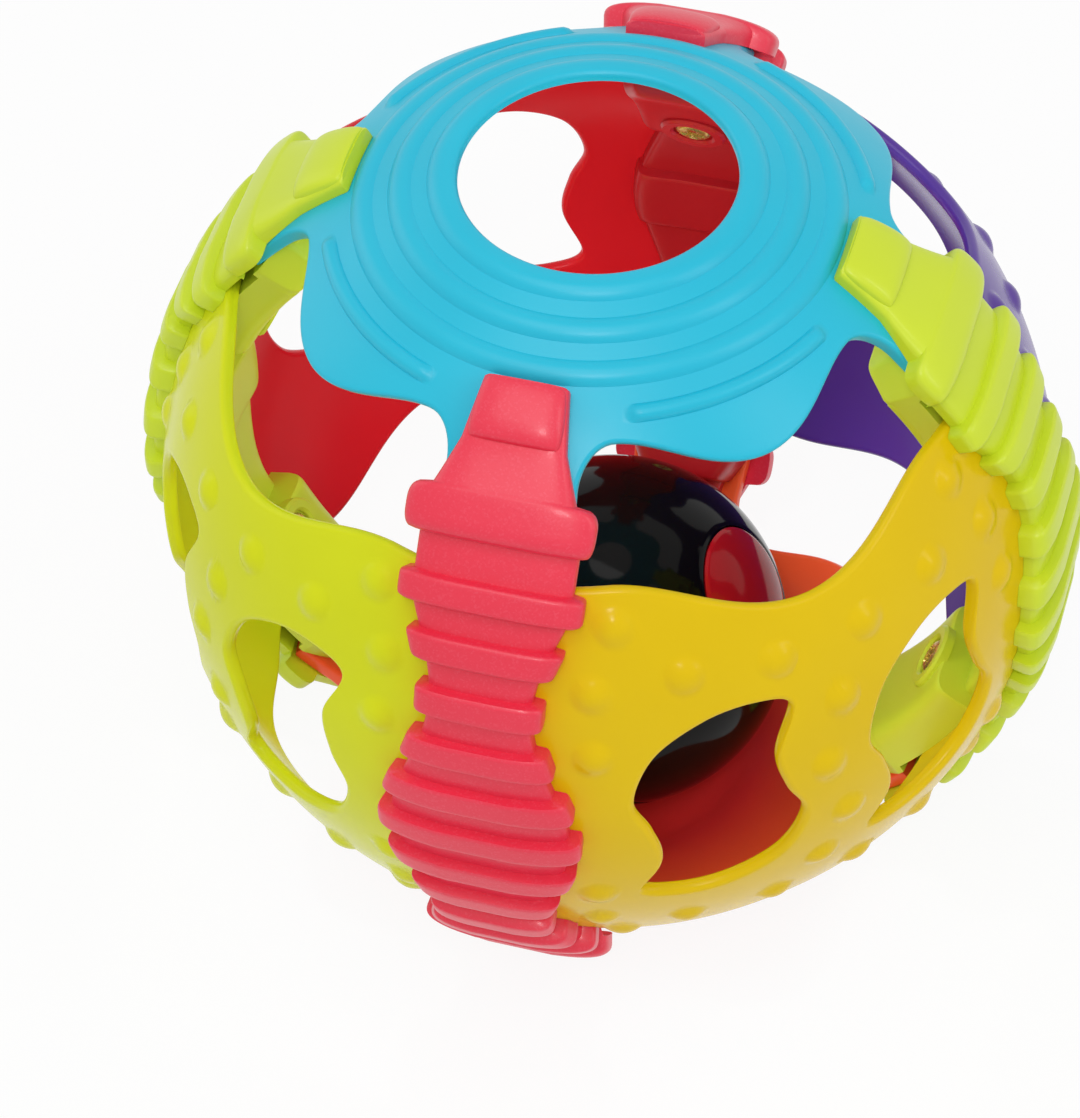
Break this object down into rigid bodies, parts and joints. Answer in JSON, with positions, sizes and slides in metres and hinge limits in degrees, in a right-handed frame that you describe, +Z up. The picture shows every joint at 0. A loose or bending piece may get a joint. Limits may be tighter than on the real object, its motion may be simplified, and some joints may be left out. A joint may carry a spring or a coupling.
{
  "type": "activity ball",
  "caption": "Open plastic cage ball for a baby to grasp: ribbed arms clamp lobed caps and pierced curved panels around a loose rattle ball with round windows",
  "frame": {"origin": "middle of the standing ring under the bottom cap, on the surface the ball stands on", "axes": "+Z up along the axis through both caps and the round hole, -Y towards the front arm, +X towards the right arm"},
  "size_m": [0.1318, 0.1318, 0.1217],
  "materials": {
    "cap_blue": "semi-gloss light blue moulded plastic",
    "cap_orange": "semi-gloss orange moulded plastic",
    "panel_yellow": "semi-gloss yellow moulded plastic",
    "panel_purple": "semi-gloss purple moulded plastic",
    "panel_red": "semi-gloss red moulded plastic",
    "panel_lime": "semi-gloss lime yellow moulded plastic",
    "arm_pink": "satin pinkish red plastic with a fine sparkle",
    "arm_lime": "satin lime plastic",
    "strip_pink": "semi-gloss red plastic",
    "strip_lime": "semi-gloss olive lime plastic",
    "screw_brass": "bright brass-plated steel",
    "ball_black": "high-gloss black plastic",
    "window_red": "high-gloss dark red plastic",
    "bead_white": "plain white plastic"
  },
  "bodies": {
    "cage": {"top_cap": "cap_blue", "bottom_cap": "cap_orange", "panel_front_right": "panel_yellow", "panel_back_right": "panel_purple", "panel_back_left": "panel_red", "panel_front_left": "panel_lime", "outer_arm_front": "arm_pink", "inner_arm_front": "strip_pink", "screw_front_upper": "screw_brass", "screw_front_lower": "screw_brass", "outer_arm_right": "arm_lime", "inner_arm_right": "strip_lime", "screw_right_upper": "screw_brass", "screw_right_lower": "screw_brass", "outer_arm_back": "arm_pink", "inner_arm_back": "strip_pink", "screw_back_upper": "screw_brass", "screw_back_lower": "screw_brass", "outer_arm_left": "arm_lime", "inner_arm_left": "strip_lime", "screw_left_upper": "screw_brass", "screw_left_lower": "screw_brass"},
    "rattle_beads": {"rattle_bead_1": "bead_white", "rattle_bead_2": "bead_white", "rattle_bead_3": "bead_white", "rattle_bead_4": "bead_white", "rattle_bead_5": "bead_white", "rattle_bead_6": "bead_white"},
    "rattle_ball": {"rattle_shell_upper": "ball_black", "rattle_window_upper": "window_red", "rattle_shell_lower": "ball_black", "rattle_window_lower": "window_red"}
  },
  "joints": [
    {"name": "ball_orbit", "type": "hinge", "parent": "cage", "child": "rattle_beads", "pos_m": [0, 0, 0.06103], "axis": [0.7071, 0.7071, 0], "continuous": true},
    {"name": "ball_spin", "type": "hinge", "parent": "rattle_beads", "child": "rattle_ball", "pos_m": [0, 0, 0.0287], "axis": [0.7071, 0.7071, 0], "continuous": true}
  ]
}
